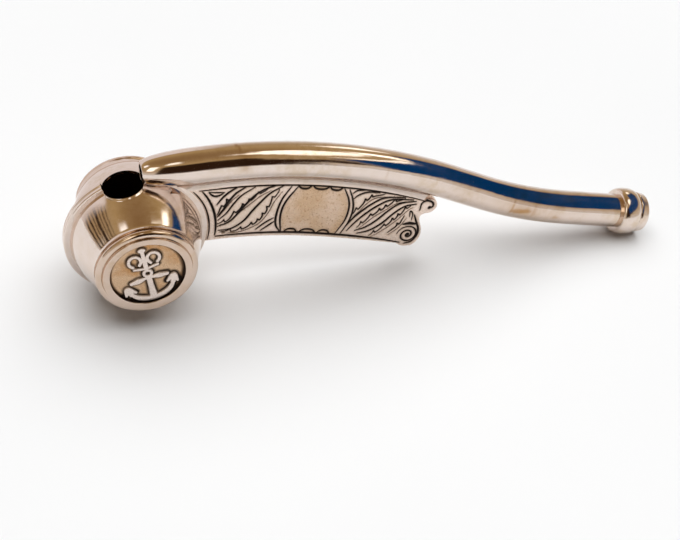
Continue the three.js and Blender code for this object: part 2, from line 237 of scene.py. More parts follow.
def backed_piece(name, points, fields, back_y):
    """A front grid, a wall from its border back to the plane y = back_y, and one flat face closing it.
    It prints two lines: the first is the front alone, whose border is still open."""
    piece = grid_piece(name, points, fields)
    edit = bmesh.new()
    edit.from_mesh(piece.data)
    rim = [edge for edge in edit.edges if edge.is_boundary]
    made = bmesh.ops.extrude_edge_only(edit, edges=rim)["geom"]
    for part in made:
        if isinstance(part, bmesh.types.BMVert):
            part.co.y = back_y
    back_rim = [part for part in made if isinstance(part, bmesh.types.BMEdge)]
    bmesh.ops.contextual_create(edit, geom=back_rim)
    finish_mesh(edit, piece.data)
    return piece


def rounded(corners, radius, steps=5):
    """A polyline with each inner corner replaced by a quadratic curve that starts and ends `radius`
    from it, and one extra point just outside each end of the curve to keep the flats flat."""
    corners = np.asarray(corners, float)
    share = np.linspace(0, 1, steps + 1)[:, None]
    made = [corners[:1]]
    for before, corner, after in zip(corners, corners[1:], corners[2:]):
        reach = min(radius, 0.4 * np.linalg.norm(before - corner), 0.4 * np.linalg.norm(after - corner))
        start = (before - corner) / np.linalg.norm(before - corner) * reach
        end = (after - corner) / np.linalg.norm(after - corner) * reach
        curve = (1 - share) ** 2 * start + share ** 2 * end
        made += [corner + 1.25 * start, corner + curve, corner + 1.25 * end]
    made.append(corners[-1:])
    return np.concatenate([np.atleast_2d(part) for part in made])


def full_turn(count):
    """Angles of a closed ring, with the first one repeated at the end."""
    return np.linspace(0, 2 * np.pi, count + 1)


def turned_on_buoy(profile, side, count=192):
    """A (radius, depth) profile turned about the buoy's axis: x = r cos t, z = r sin t, and y is the
    depth, on the near side when side is -1."""
    radius, depth = np.asarray(profile).T
    turn = full_turn(count)
    return in_frame(radius[:, None] * np.cos(turn), side * depth[:, None], radius[:, None] * np.sin(turn))


def turned_on_gun(profile, count):
    """An (s, radius) profile carried round the gun's centreline: n = r cos t, y = r sin t."""
    s, radius = np.asarray(profile).T
    turn = full_turn(count)
    x, z = beside_gun(s[:, None], radius[:, None] * np.cos(turn))
    return in_frame(x, radius[:, None] * np.sin(turn), z)


# %% [markdown]
# ## Finishes
# The whole call is one kind of metal: nickel silver, a warm white metal, polished by hand. A mirror
# finish shows little of its own colour, so what makes it look real is what breaks the mirror: a
# cloudy tint where it has tarnished, long hair-fine wipe marks, and a few brown water stains. Each is
# a noise texture on Object coordinates, so that it stays with the piece.

# %% Node helpers
def new_material(name):
    """A material with an empty node tree, and the tree."""
    material = bpy.data.materials.new(name)
    material.use_nodes = True
    material.node_tree.nodes.clear()
    return material, material.node_tree


def add(tree, kind, settings=None, **inputs):
    """A node of that kind. Settings are its own properties. An input, given by name or as i0, i1 by its
    number, takes a number or another node's output."""
    node = tree.nodes.new("ShaderNode" + kind)
    for name, value in (settings or {}).items():
        setattr(node, name, value)
    for name, value in inputs.items():
        numbered = name[0] == "i" and name[1:].isdigit()
        socket = node.inputs[int(name[1:]) if numbered else name.replace("_", " ")]
        if isinstance(value, bpy.types.NodeSocket):
            tree.links.new(value, socket)
        else:
            socket.default_value = value
    return node


def noise(tree, scale, detail=3.0, stretch=(1, 1, 1), rough=0.5):
    """Noise on Object coordinates, stretched by a Mapping node. The scale counts features per metre."""
    place = add(tree, "TexCoord").outputs["Object"]
    mapped = add(tree, "Mapping", Vector=place, Scale=stretch).outputs["Vector"]
    return add(tree, "TexNoise", Vector=mapped, Scale=scale, Detail=detail, Roughness=rough).outputs["Fac"]


def ramp(tree, value, low, high, to_low=0.0, to_high=1.0):
    """The value between low and high, spread smoothly from to_low to to_high."""
    return add(tree, "MapRange", {"interpolation_type": "SMOOTHSTEP"}, Value=value, From_Min=low,
               From_Max=high, To_Min=to_low, To_Max=to_high).outputs["Result"]


def blend_colours(tree, share, first, second):
    """A mix of two colours; each may be a plain colour or another node's output."""
    node = add(tree, "Mix", {"data_type": "RGBA"})
    for value, name in ((share, "Factor_Float"), (first, "A_Color"), (second, "B_Color")):
        socket = next(i for i in node.inputs if i.identifier == name)
        if isinstance(value, bpy.types.NodeSocket):
            tree.links.new(value, socket)
        else:
            socket.default_value = value if isinstance(value, float) else (*value, 1.0)
    return next(o for o in node.outputs if o.identifier == "Result_Color")


def maths(tree, operation, first, second):
    """The output of a Math node; each input may be a number or another node's output."""
    return add(tree, "Math", {"operation": operation}, i0=first, i1=second).outputs[0]


def times(tree, first, second):
    return maths(tree, "MULTIPLY", first, second)


def plus(tree, first, second):
    return maths(tree, "ADD", first, second)


def painted(tree, name):
    """A per-point number that was stored on the mesh, such as how deep the oxide lies."""
    return add(tree, "Attribute", {"attribute_name": name}).outputs["Fac"]


# %% [markdown]
# ## Three finishes
# The plain parts are polished. The keel is engraved: bright between cuts that hold black oxide, brown
# beside them, and warm and grainy inside the cartouche. The medallions are antiqued, which leaves the
# raised device bright on a tarnished field, with painted shade darkening one side of each disc. Oxide isn't
# a metal, so the metallic share falls where it is.

# %% The three finishes
WARM_SILVER = (0.765, 0.655, 0.59)
TARNISHED = (0.67, 0.54, 0.42)
STAIN_BROWN = (0.25, 0.13, 0.05)
OXIDE = (0.012, 0.006, 0.004)
ENGRAVED_FACE = (0.84, 0.69, 0.60)
WARM_FIELD = (0.60, 0.41, 0.26)
HALO_BROWN = (0.44, 0.29, 0.19)
MARK_BROWN = (0.42, 0.23, 0.09)
TARNISH_ORANGE = (0.46, 0.235, 0.09)
OXIDE_GLOSS = 0.12


def close_material(tree, colour, roughness, height, distance, metallic=1.0):
    """Bump from the height, in which 1 stands for that distance in metres, a metal and the output."""
    bump = add(tree, "Bump", Height=height, Strength=1.0, Distance=distance).outputs["Normal"]
    shader = add(tree, "BsdfPrincipled", Base_Color=colour, Roughness=roughness, Metallic=metallic,
                 Normal=bump, Specular_IOR_Level=OXIDE_GLOSS)
    add(tree, "OutputMaterial", Surface=shader.outputs["BSDF"])


def wipe_marks(tree):
    """Long thin streaks: two noises stretched along the call, one hair-fine and one broader."""
    fine = noise(tree, 1.0, detail=2.0, stretch=(60, 2600, 2600))
    broad = noise(tree, 1.0, detail=1.0, stretch=(45, 60, 1300))
    return plus(tree, ramp(tree, fine, 0.55, 0.75), ramp(tree, broad, 0.6, 0.8, 0.0, 0.6))


def polished_finish():
    """Silver mottled with tarnish, browner where "mark" says, with a few brown spots in patches."""
    material, tree = new_material("hand_polished_nickel")
    cloud = ramp(tree, noise(tree, 55.0, detail=4.0), 0.38, 0.70)
    mottle = ramp(tree, noise(tree, 480.0, detail=5.0, rough=0.62), 0.38, 0.66)
    spots = ramp(tree, noise(tree, 260.0, detail=5.0, rough=0.6), 0.66, 0.72)
    patches = ramp(tree, noise(tree, 75.0, detail=2.0), 0.60, 0.68)
    stain = times(tree, spots, patches)
    tarnish = times(tree, mottle, ramp(tree, cloud, 0.0, 1.0, 0.25, 1.0))
    mark = times(tree, painted(tree, "mark"), ramp(tree, cloud, 0.0, 1.0, 0.6, 1.0))
    silver = blend_colours(tree, tarnish, WARM_SILVER, TARNISHED)
    silver = blend_colours(tree, mark, silver, MARK_BROWN)
    colour = blend_colours(tree, times(tree, stain, 0.7), silver, STAIN_BROWN)
    wiped = wipe_marks(tree)
    dull = plus(tree, times(tree, stain, 0.3), ramp(tree, cloud, 0.0, 1.0, 0.07, 0.14))
    roughness = plus(tree, times(tree, wiped, 0.05), dull)
    waves = times(tree, noise(tree, 170.0, detail=2.0), 5.0)
    height = plus(tree, times(tree, wiped, -0.1), waves)
    close_material(tree, colour, roughness, height, 0.000012)
    return material


def engraved_finish():
    """Bright metal, warm and grainy in the cartouche, brown beside the cuts, with oxide in the cuts."""
    material, tree = new_material("engraved_nickel")
    oxide, halo, field = (painted(tree, name) for name in ("oxide", "halo", "field"))
    grain = noise(tree, 2600.0, detail=3.0, rough=0.7)
    cloud = ramp(tree, noise(tree, 140.0, detail=4.0), 0.35, 0.68)
    warm = times(tree, field, ramp(tree, cloud, 0.0, 1.0, 0.6, 1.0))
    beside_cuts = times(tree, halo, ramp(tree, grain, 0.35, 0.65, 0.2, 0.75))
    specks = times(tree, field, ramp(tree, grain, 0.56, 0.68, 0.0, 0.55))
    face = blend_colours(tree, times(tree, cloud, 0.5), ENGRAVED_FACE, TARNISHED)
    layers = ((warm, WARM_FIELD), (beside_cuts, HALO_BROWN), (specks, STAIN_BROWN), (oxide, OXIDE))
    for share, tint in layers:
        face = blend_colours(tree, share, face, tint)
    roughness = plus(tree, ramp(tree, grain, 0.3, 0.7, 0.20, 0.32), times(tree, oxide, 0.35))
    grainy = times(tree, grain, plus(tree, times(tree, field, 1.2), 0.35))
    height = plus(tree, grainy, times(tree, wipe_marks(tree), -0.15))
    close_material(tree, face, roughness, height, 0.00002, maths(tree, "SUBTRACT", 1.0, oxide))
    return material


def antiqued_finish():
    """A bright device on a field that goes from brown to orange, with black oxide beside the device, made
    heavier on one side by painted shade.
    """
    material, tree = new_material("antiqued_nickel")
    oxide, field = painted(tree, "oxide"), painted(tree, "field")
    grain = noise(tree, 1800.0, detail=4.0, rough=0.65)
    cloud = ramp(tree, noise(tree, 190.0, detail=3.0), 0.46, 0.72)
    tarnish = blend_colours(tree, cloud, WARM_FIELD, TARNISH_ORANGE)
    face = blend_colours(tree, field, WARM_SILVER, tarnish)
    colour = blend_colours(tree, oxide, face, OXIDE)
    roughness = plus(tree, ramp(tree, grain, 0.3, 0.7, 0.22, 0.36), times(tree, oxide, 0.3))
    close_material(tree, colour, roughness, grain, 0.00002, maths(tree, "SUBTRACT", 1.0, oxide))
    return material


FINISHES = {"polished_plate": polished_finish(), "engraved_plate": engraved_finish(),
            "antiqued_plate": antiqued_finish()}
print("finishes:", [material.name for material in FINISHES.values()])


def place_piece(piece, node, slot):
    """The piece takes its finish, rides on the one rigid body and stands for its CAD node."""
    piece.data.materials.append(FINISHES[slot])
    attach(piece, "root")
    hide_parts(node)


# %% [markdown]
# ## The gun
# The gun is a drawn tube, swaged down at its muzzle and bent over a former. It could be a curve with a
# bevel, but a profile carried round the centreline also gives the bore, the wall and the rounded rims
# in one closed surface: out along the outside, over the rim, and back down the bore.

# %% Gun
GUN_WALL = 0.55
RIM_ROUNDING = 0.12
NOSE_DROP, NOSE_LENGTH = 0.42, 1.0
RIM_RUN, BORE_START = 0.3, 1.5
GUN_COLUMNS = 96
WATER_MARKS = [
    (18.8, 74, 0.9, 14, 0.7), (19.2, 42, 1.5, 8, 0.6), (18.0, 8, 0.16, 16, 1.0), (17.6, -8, 0.16, 12, 1.0),
    (47.0, 74, 0.12, 22, 0.45), (77.3, 82, 0.22, 32, 0.6), (82.7, 82, 0.22, 32, 0.6),
    (79.2, 92, 1.3, 7, 0.8), (81.0, 86, 0.8, 6, 0.7), (78.2, 98, 0.9, 6, 0.6), (88.0, 96, 0.9, 8, 0.5),
    (80.0, 86, 3.4, 22, 0.3), (78.0, 60, 17.0, 170, 0.30),
]


def nosed_radius(s):
    """The gun's radius, less a drop at the muzzle that dies away exponentially: the swaged nose."""
    return gun_radius(s) - NOSE_DROP * np.exp(-np.asarray(s, float) / NOSE_LENGTH)


outside = np.concatenate([np.linspace(RIM_RUN, 5.7, 28), np.linspace(6.0, GUN_LENGTH, 240)])
bore = np.linspace(GUN_LENGTH, 0.0, 120)
bore_start = (BORE_START, nosed_radius(BORE_START) - GUN_WALL)
gun_profile = np.concatenate([
    rounded([bore_start, (0.0, nosed_radius(0) - GUN_WALL), (0.0, nosed_radius(0)),
             (RIM_RUN, nosed_radius(RIM_RUN))], RIM_ROUNDING)[:-1],
    np.stack([outside, nosed_radius(outside)], axis=1)[:-1],
    [(GUN_LENGTH, GUN_RADIUS), (GUN_LENGTH, GUN_RADIUS - GUN_WALL)],
    np.stack([bore, nosed_radius(bore) - GUN_WALL], axis=1)[1:-2],
    [bore_start],
])


def water_marks(s, turn):
    """Old water stains, a Gaussian spot for each (s, turn in degrees, length, width, depth)."""
    return sum(depth * np.exp(-((s - at_s) / length) ** 2 - ((turn - at_turn) / width) ** 2)
               for at_s, at_turn, length, width, depth in WATER_MARKS).clip(0, 1)


mark_turn = (-np.degrees(full_turn(GUN_COLUMNS)) + 180) % 360 - 180
marks = water_marks(gun_profile[:, :1], mark_turn)
gun = grid_piece("gun", turned_on_gun(gun_profile, GUN_COLUMNS), {"mark": marks})
place_piece(gun, "gun_tube", "polished_plate")

# %% [markdown]
# ## The mouthpiece rings
# A bead stops the call slipping through the fingers, and a smaller lip ring finishes the mouth. Both
# are turned on a lathe and soldered on, so each is a profile turned about the gun's straight end.

# %% Bead and lip
BEAD_MIDDLE, BEAD_HALF_WIDTH = GUN_LENGTH - 3.65, 2.05
BEAD_RADIUS, BEAD_EDGE_RADIUS, BEAD_STEP = 4.85, 4.05, 0.12
LIP_BACK, LIP_FACE, LIP_RADIUS = GUN_LENGTH - 1.5, GUN_LENGTH + 0.7, 4.2
LIP_SOCKET_RADIUS, LIP_FLOOR, LIP_ROUNDING = 3.3, GUN_LENGTH - 0.05, 0.85
OVERLAP = 0.1
RING_COLUMNS = 128

swell = np.linspace(-np.pi / 2, np.pi / 2, 33)
bead_swell = np.stack([BEAD_MIDDLE + BEAD_HALF_WIDTH * np.sin(swell),
                       BEAD_EDGE_RADIUS + (BEAD_RADIUS - BEAD_EDGE_RADIUS) * np.cos(swell) ** 0.8], axis=1)
flank = [GUN_RADIUS - OVERLAP, GUN_RADIUS + OVERLAP, BEAD_EDGE_RADIUS - BEAD_STEP]
bead_back, bead_front = BEAD_MIDDLE - BEAD_HALF_WIDTH, BEAD_MIDDLE + BEAD_HALF_WIDTH
bead_profile = np.concatenate([
    [(bead_back, radius) for radius in flank], bead_swell,
    [(bead_front, radius) for radius in flank[::-1]], [(bead_back, flank[0])],
])
bead = grid_piece("bead", turned_on_gun(bead_profile, RING_COLUMNS))
place_piece(bead, "mouthpiece_bead", "polished_plate")

lip_profile = rounded([
    (LIP_FLOOR, LIP_SOCKET_RADIUS), (LIP_BACK, LIP_SOCKET_RADIUS), (LIP_BACK, LIP_RADIUS - 0.2),
    (LIP_BACK + 0.5, LIP_RADIUS), (LIP_FACE, LIP_RADIUS - 0.25), (LIP_FACE, GUN_RADIUS - GUN_WALL),
    (LIP_FLOOR, GUN_RADIUS - GUN_WALL), (LIP_FLOOR, LIP_SOCKET_RADIUS)], LIP_ROUNDING, 8)
lip = grid_piece("lip", turned_on_gun(lip_profile, RING_COLUMNS))
place_piece(lip, "mouthpiece_lip", "polished_plate")

# %% [markdown]
# ## The buoy's shells and its window
# Each half of the buoy is a thin domed cone, spun from sheet. A round hole is drilled down through
# both halves and the band between them: that is the window that makes the sound. A Boolean would
# leave ragged shading round the hole. Instead the grid's columns are placed so that its own first row
# follows the hole: at a point of the drill's circle with angle p, the depth is R cos p and the sideways
# distance is R sin p, and dividing that by the shell's radius gives the sine of the column's angle.

# %% Shells
SHELL_BASE_RADIUS, NECK_RADIUS, SHELL_BULGE, SHELL_WALL = 12.5, 9.2, 0.36, 0.55
SHELL_START, SHELL_END = 0.95, 10.45
NECK_FLARE, FLARE_LENGTH = 0.42, 0.95
WINDOW_RADIUS = 3.95
WINDOW_LEAN = np.arcsin(2.6 / BAND_RADIUS)
BURR, BURR_LENGTH = 0.17, 0.30
HOLE_COLUMNS, REST_COLUMNS, SHELL_ROWS = 81, 240, 97


def shell_radius(depth):
    """A straight cone from the base to the neck, a parabola on it for the dome, and a flare at the neck."""
    share = (depth - SHELL_START) / (SHELL_END - SHELL_START)
    cone = SHELL_BASE_RADIUS + (NECK_RADIUS - SHELL_BASE_RADIUS) * share
    flare = NECK_FLARE * np.clip((depth - SHELL_END + FLARE_LENGTH) / FLARE_LENGTH, 0, 1) ** 2
    return cone + 4 * SHELL_BULGE * share * (1 - share) + flare


def buoy_shell(name, side):
    """Outer skin from the hole's edge to the neck, over the rim, back along the inner skin and up the
    hole's wall. A burr stands up round the hole and fades before its two ends."""
    across_hole = np.linspace(-1, 1, HOLE_COLUMNS)
    hole_turn = across_hole * np.arccos(SHELL_START / WINDOW_RADIUS)
    hole_depth = WINDOW_RADIUS * np.cos(hole_turn)
    hole_angle = np.arcsin(WINDOW_RADIUS * np.sin(hole_turn) / shell_radius(hole_depth))
    rest = np.linspace(hole_angle[-1], 2 * np.pi + hole_angle[0], REST_COLUMNS + 1)[1:]
    first_depth = np.concatenate([hole_depth, np.full(len(rest), SHELL_START)])
    along = np.linspace(0, 1, SHELL_ROWS) ** 1.6
    depth = first_depth + (SHELL_END - first_depth) * along[:, None]
    at_hole = np.concatenate([1 - np.abs(across_hole) ** 12, np.zeros(len(rest))])
    outer = shell_radius(depth) + BURR * at_hole * np.exp(-((depth - first_depth) / BURR_LENGTH) ** 2)
    edge = np.linspace(0, 1, 5)[1:-1, None]
    radius = np.concatenate([outer, outer[-1] - SHELL_WALL * edge, outer[::-1] - SHELL_WALL,
                             outer[:1] - SHELL_WALL * edge[::-1], outer[:1]])
    depths = np.concatenate([depth, depth[-1:] + 0 * edge, depth[::-1], depth[:1] + 0 * edge, depth[:1]])
    turn = np.pi / 2 + WINDOW_LEAN - np.concatenate([hole_angle, rest])
    return grid_piece(name, in_frame(radius * np.cos(turn), side * depths, radius * np.sin(turn)))


for name, side in (("near", -1), ("far", 1)):
    place_piece(buoy_shell(name + "_spun_dome", side), name + "_shell", "polished_plate")

# %% [markdown]
# ## The band
# The shells meet in a flat band that stands proud all round. It is an open ring: the window takes a
# bite out of its top, and the gun lies in a shallow trough beside it. So the band's profile is swept
# from one side of the window to the other, and its outer radius is kept just inside the gun's wall.

# %% Band
BAND_INNER_RADIUS, BAND_HALF_WIDTH, BAND_DROP = 11.0, 1.0, 2.0
FLANK_DROP, EDGE_ROUNDING = 0.9, 0.32
SEAM_DEPTH, SEAM_HALF_WIDTH = 0.30, 0.22
WINDOW_CUT = 3.88
TROUGH_END = 0.8
LEAST_WALL = 0.05


def gun_underside(angle):
    """Distance from the buoy's centre to the gun's underside, along a ray at that angle from the
    vertical. Each pass measures the height where the last one ended, until the two agree."""
    reach = np.full_like(angle, BAND_RADIUS)
    for _ in range(25):
        x, z, _heading = gun_line(reach * np.sin(angle) - MUZZLE[0])
        reach = (z - gun_radius(x - MUZZLE[0]) + GUN_WALL / 2) / np.cos(angle)
    return np.where(np.sin(angle) * BAND_RADIUS > MUZZLE[0] - 0.2, reach, np.inf)


def swept_lids(section_points, stations):
    """The two end faces of a section that closes on itself and is swept along that many stations."""
    starts = np.arange(section_points - 1) * stations
    return starts, (starts + stations - 1)[::-1]


outer_edge = rounded([(-BAND_HALF_WIDTH, -FLANK_DROP), (-BAND_HALF_WIDTH, 0.0), (-SEAM_HALF_WIDTH, 0.0),
                      (0.0, -SEAM_DEPTH), (SEAM_HALF_WIDTH, 0.0), (BAND_HALF_WIDTH, 0.0),
                      (BAND_HALF_WIDTH, -FLANK_DROP)], EDGE_ROUNDING, 7)
band_depth = np.concatenate([[-BAND_HALF_WIDTH], outer_edge[:, 0],
                             [BAND_HALF_WIDTH, 0.0, -BAND_HALF_WIDTH]])
band_drop = np.concatenate([[-BAND_DROP], outer_edge[:, 1], [-BAND_DROP] * 3])
lean = np.arcsin(WINDOW_CUT / (BAND_RADIUS - 0.4))
sweep_angle = -WINDOW_LEAN + lean + np.linspace(0, 1, 361) * (2 * np.pi - 2 * lean)
wrapped = (sweep_angle + np.pi) % (2 * np.pi) - np.pi
under_gun = (wrapped > 0) & (wrapped < TROUGH_END)
limit = np.where(under_gun, gun_underside(np.clip(wrapped, 0.0, TROUGH_END)), np.inf)
band_top = np.minimum(BAND_RADIUS, limit)
is_inner = -band_drop[:, None] / BAND_DROP > 0.99
outer = np.maximum(band_top + band_drop[:, None], BAND_INNER_RADIUS + LEAST_WALL)
radius = np.where(is_inner, BAND_INNER_RADIUS, outer)
turn = np.pi / 2 - sweep_angle
band_points = in_frame(radius * np.cos(turn), band_depth[:, None] + 0 * turn, radius * np.sin(turn))
band = grid_piece("band", band_points, lids=swept_lids(len(band_depth), len(sweep_angle)))
place_piece(band, "buoy_band", "polished_plate")

# %% [markdown]
# ## The caps
# Each end of the buoy is closed by a turned cap: a fat rounded bead outside, a flat ring, and a recess
# that frames the medallion. One closed profile says it all.

# %% Caps
CAP_BASE, CAP_SEAT, CAP_SHOULDER, CAP_FACE = 10.35, 10.95, 11.80, 12.25
CAP_RADIUS, CAP_FACE_RADIUS, CAP_BORE_RADIUS, CAP_INNER_RADIUS = 9.5, 8.28, 6.98, 6.2
CAP_BEAD_CENTRE, CAP_BEAD_DEPTH, CAP_BEAD_HALF_WIDTH = 8.62, 11.12, 0.77
CAP_TARNISH = 0.42

round_bead = np.linspace(-0.5 * np.pi, 0.5 * np.pi, 25)
cap_profile = np.concatenate([
    [(CAP_INNER_RADIUS, CAP_BASE), (8.0, CAP_BASE), (CAP_BEAD_CENTRE, CAP_BASE)],
    np.stack([CAP_BEAD_CENTRE + (CAP_RADIUS - CAP_BEAD_CENTRE) * np.cos(round_bead),
              CAP_BEAD_DEPTH + CAP_BEAD_HALF_WIDTH * np.sin(round_bead)], axis=1),
    [(8.45, 11.86), (8.34, CAP_SHOULDER)],
    rounded([(CAP_FACE_RADIUS, CAP_SHOULDER), (CAP_FACE_RADIUS, CAP_FACE), (CAP_BORE_RADIUS, CAP_FACE),
             (CAP_BORE_RADIUS, CAP_SEAT), (CAP_INNER_RADIUS, CAP_SEAT)], 0.16, 5),
    [(CAP_INNER_RADIUS, CAP_BASE)],
])
for name, side in (("near_cap", -1), ("far_cap", 1)):
    cap_points = turned_on_buoy(cap_profile, side)
    cap = grid_piece(name, cap_points, {"mark": np.full(cap_points.shape[:2], CAP_TARNISH)})
    place_piece(cap, name + "_rim", "polished_plate")

# %% [markdown]
# ## Drawing with distances
# The medallion's relief and the keel's engraving are both line drawings. Each line is a smooth curve
# through a few places with a width that swells and tapers. For every point of a fine grid the distance
# to the nearest part of the line says how deep the graver went, or how high the relief stands.

# %% Curves and distances
def smooth_curve(places, count):
    """A Catmull-Rom curve through the places: each span is the cubic whose slopes are half the chord
    between its neighbours. End slopes repeat the end chord."""
    places = np.asarray(places, float)
    padded = np.concatenate([2 * places[:1] - places[1:2], places, 2 * places[-1:] - places[-2:-1]])
    t = np.linspace(0, 1, count, endpoint=False)[:, None]
    spans = [0.5 * (2 * b + (c - a) * t + (2 * a - 5 * b + 4 * c - d) * t ** 2
                    + (3 * b - a - 3 * c + d) * t ** 3)
             for a, b, c, d in zip(padded, padded[1:], padded[2:], padded[3:])]
    return np.concatenate([*spans, places[-1:]])


def line_reach(points, line, half_width, halo):
    """At each point, 1 on the line's middle falling to 0 at half_width, which may vary along the line, and
    in a second row the same for half_width + halo. Only points inside the line's box are measured, by
    projecting them on each short segment: distance is to the nearest spot of the segment."""
    reach = np.zeros((2, len(points)))
    margin = np.max(half_width) + halo
    inside = np.all((points > line.min(0) - margin) & (points < line.max(0) + margin), axis=1)
    spot = points[inside][:, None]
    start, step = line[:-1], np.diff(line, axis=0)
    length = np.maximum((step ** 2).sum(1), 1e-12)
    t = np.clip(((spot - start) * step).sum(2) / length, 0, 1)
    distance = np.linalg.norm(spot - start - t[..., None] * step, axis=2)
    width = np.maximum(half_width[:-1] + t * np.diff(half_width), 1e-3)
    reach[0, inside] = np.max(1 - distance / width, axis=1).clip(0, 1)
    reach[1, inside] = np.max(1 - distance / (width + halo), axis=1).clip(0, 1)
    return reach


def tapered(line, half_width, ends=0.45):
    """A half-width that swells from `ends` of itself to full in the middle, as a sine of the way along."""
    way = np.linspace(0, np.pi, len(line))
    return half_width * (ends + (1 - ends) * np.sin(way) ** 0.6)


# %% [markdown]
# ## The medallions
# A disc set in each cap carries a plain anchor under a small open coronet, a generic device drawn for
# this part. It was struck in a die, so it stands up from a field that has gone dark and brown where a
# polishing cloth can't reach; painted shade also darkens one side of the disc and its edge. The disc is a
# square grid squeezed into a circle, which keeps the cells even.

# %% Medallions
MEDALLION_RADIUS, MEDALLION_DEPTH, MEDALLION_BACK, RELIEF = 7.0, 11.66, 11.0, 0.36
DEVICE_LEAN = np.radians(12)
MOAT_START, MOAT_WIDTH, MOAT_DEPTH = 0.92, 0.07, 0.25
DEVICE_HALO = 0.9
RELIEF_STEEPNESS = 3.4


def device_lines():
    """The device's lines as (places, half-width), in millimetres, upright about the disc's centre: a
    coronet's stalk, knob, two loops and bar, then an anchor's ring, stock, shank, arms and flukes."""
    arm = np.radians(np.linspace(-162, -14, 11))
    loop = np.radians(np.linspace(-62, 232, 11))
    ring = full_turn(12)
    arm_swell = 0.42 + 0.42 * np.sin(np.linspace(0, np.pi, 11)) ** 1.5
    loops = [(np.stack([side * (1.75 + 1.12 * np.cos(loop)), 3.45 + 1.25 * np.sin(loop)], axis=1), 0.38)
             for side in (-1, 1)]
    return [
        ([(0.0, 5.3), (0.0, 3.8), (0.0, 1.9)], (0.46, 0.50, 0.58)),
        ([(-0.3, 5.7), (0.0, 5.85), (0.3, 5.7)], 0.52),
        *loops,
        ([(-2.2, 1.7), (0.0, 1.35), (2.2, 1.7)], 0.34),
        (np.stack([0.72 * np.cos(ring), 0.1 + 0.72 * np.sin(ring)], axis=1), 0.36),
        ([(-3.4, -1.45), (-2.0, -1.25), (-0.6, -0.95)], (0.45, 0.74, 0.36)),
        ([(0.6, -0.95), (2.0, -1.05), (3.4, -1.15)], (0.36, 0.70, 0.45)),
        ([(0.0, -0.8), (0.0, -3.2), (0.0, -5.7)], (0.62, 0.66, 0.86)),
        (np.stack([4.35 * np.cos(arm), -2.1 + 4.0 * np.sin(arm)], axis=1), arm_swell),
        ([(-4.9, -4.1), (-4.35, -2.6), (-3.0, -3.7)], (0.30, 0.75, 0.30)),
        ([(4.95, -3.5), (4.45, -2.0), (3.1, -3.0)], (0.30, 0.75, 0.30)),
        ([(-4.4, -2.9), (-3.9, -4.0)], 0.62),
        ([(4.45, -2.4), (4.1, -3.4)], 0.62),
    ]


def spread_width(count, half_width):
    """count half-widths spread evenly between the given ones, or all the same when there is only one."""
    widths = np.atleast_1d(half_width)
    return np.interp(np.linspace(0, 1, count), np.linspace(0, 1, len(widths)), widths)


def medallion(side):
    """Front surface, oxide (with painted shade on one side) and field of a disc. A square grid becomes
    round by x = u sqrt(1 - v^2 / 2) and z = v sqrt(1 - u^2 / 2). The device stands up from the field, and a
    dark moat runs round the edge; painted shade makes both darker and wider on one side."""
    grid = np.linspace(-1, 1, 201)
    u, v = np.meshgrid(grid, grid, indexing="ij")
    x, z = MEDALLION_RADIUS * u * np.sqrt(1 - v ** 2 / 2), MEDALLION_RADIUS * v * np.sqrt(1 - u ** 2 / 2)
    across = -side * x
    upright = np.stack([across * np.cos(DEVICE_LEAN) + z * np.sin(DEVICE_LEAN),
                        z * np.cos(DEVICE_LEAN) - across * np.sin(DEVICE_LEAN)], axis=-1).reshape(-1, 2)
    raised, shade = np.zeros((2, len(upright)))
    for places, half_width in device_lines():
        line = smooth_curve(places, 10)
        on_line, near_line = line_reach(upright, line, spread_width(len(line), half_width), DEVICE_HALO)
        raised = np.maximum(raised, np.clip(on_line * RELIEF_STEEPNESS, 0, 1))
        shade = np.maximum(shade, near_line)
    raised, shade = (raised ** 2 * (3 - 2 * raised)).reshape(u.shape), shade.reshape(u.shape)
    # Painted shade: a ramp that grows towards large across and low z, the disc's lower right. It makes the
    # oxide beside the device heavier and the dark moat wider on that side.
    painted_shade_side = np.clip((across - z + 3) / 8, 0, 1)
    from_centre = np.hypot(x, z) / MEDALLION_RADIUS
    moat = np.clip((from_centre - MOAT_START + 0.06 * painted_shade_side) / (MOAT_WIDTH + 0.04 * painted_shade_side), 0, 1) ** 2
    front = in_frame(x, side * (MEDALLION_DEPTH + RELIEF * raised - MOAT_DEPTH * moat), z)
    oxide_and_shade_beside_device = (1 - raised) * np.clip(shade * (2.4 + 0.9 * painted_shade_side) - 0.75, 0, 1)
    return front, np.clip(oxide_and_shade_beside_device + 0.95 * moat ** 0.5, 0, 1), 1 - raised


for name, side in (("near", -1), ("far", 1)):
    face, oxide, recess = medallion(side)
    back_y = side * MEDALLION_BACK * MM
    disc = backed_piece(name + "_struck_disc", face, {"oxide": oxide, "field": recess}, back_y)
    place_piece(disc, name + "_medallion", "antiqued_plate")

# %% [markdown]
# ## The saddle
# A strip of metal carries the gun over the keel. Its sides are hollowed by the file that cleaned up
# the solder, so the section is a cove: wide against the gun, narrow on the keel.

# %% Saddle
SADDLE_HALF_WIDTH, SADDLE_FOOT_HALF_WIDTH, SADDLE_TOP, SADDLE_FOOT = 1.95, 1.12, 2.95, 4.85
SADDLE_TONGUE_HALF_WIDTH, SADDLE_TONGUE_FOOT = 0.9, 5.0
SADDLE_END = 59.3
BAND_OVERLAP = 0.15

fall = np.linspace(0, 1, 12)
cove_half = SADDLE_FOOT_HALF_WIDTH + (SADDLE_HALF_WIDTH - SADDLE_FOOT_HALF_WIDTH) * (1 - fall) ** 2.2
cove_n = -(SADDLE_TOP + (SADDLE_FOOT - SADDLE_TOP) * fall)
tongue = np.array([SADDLE_TONGUE_HALF_WIDTH, -SADDLE_TONGUE_HALF_WIDTH])
section_y = np.concatenate([cove_half, tongue, -cove_half[::-1], cove_half[:1]])
section_n = np.concatenate([cove_n, [-SADDLE_TONGUE_FOOT] * 2, cove_n[::-1], cove_n[:1]])

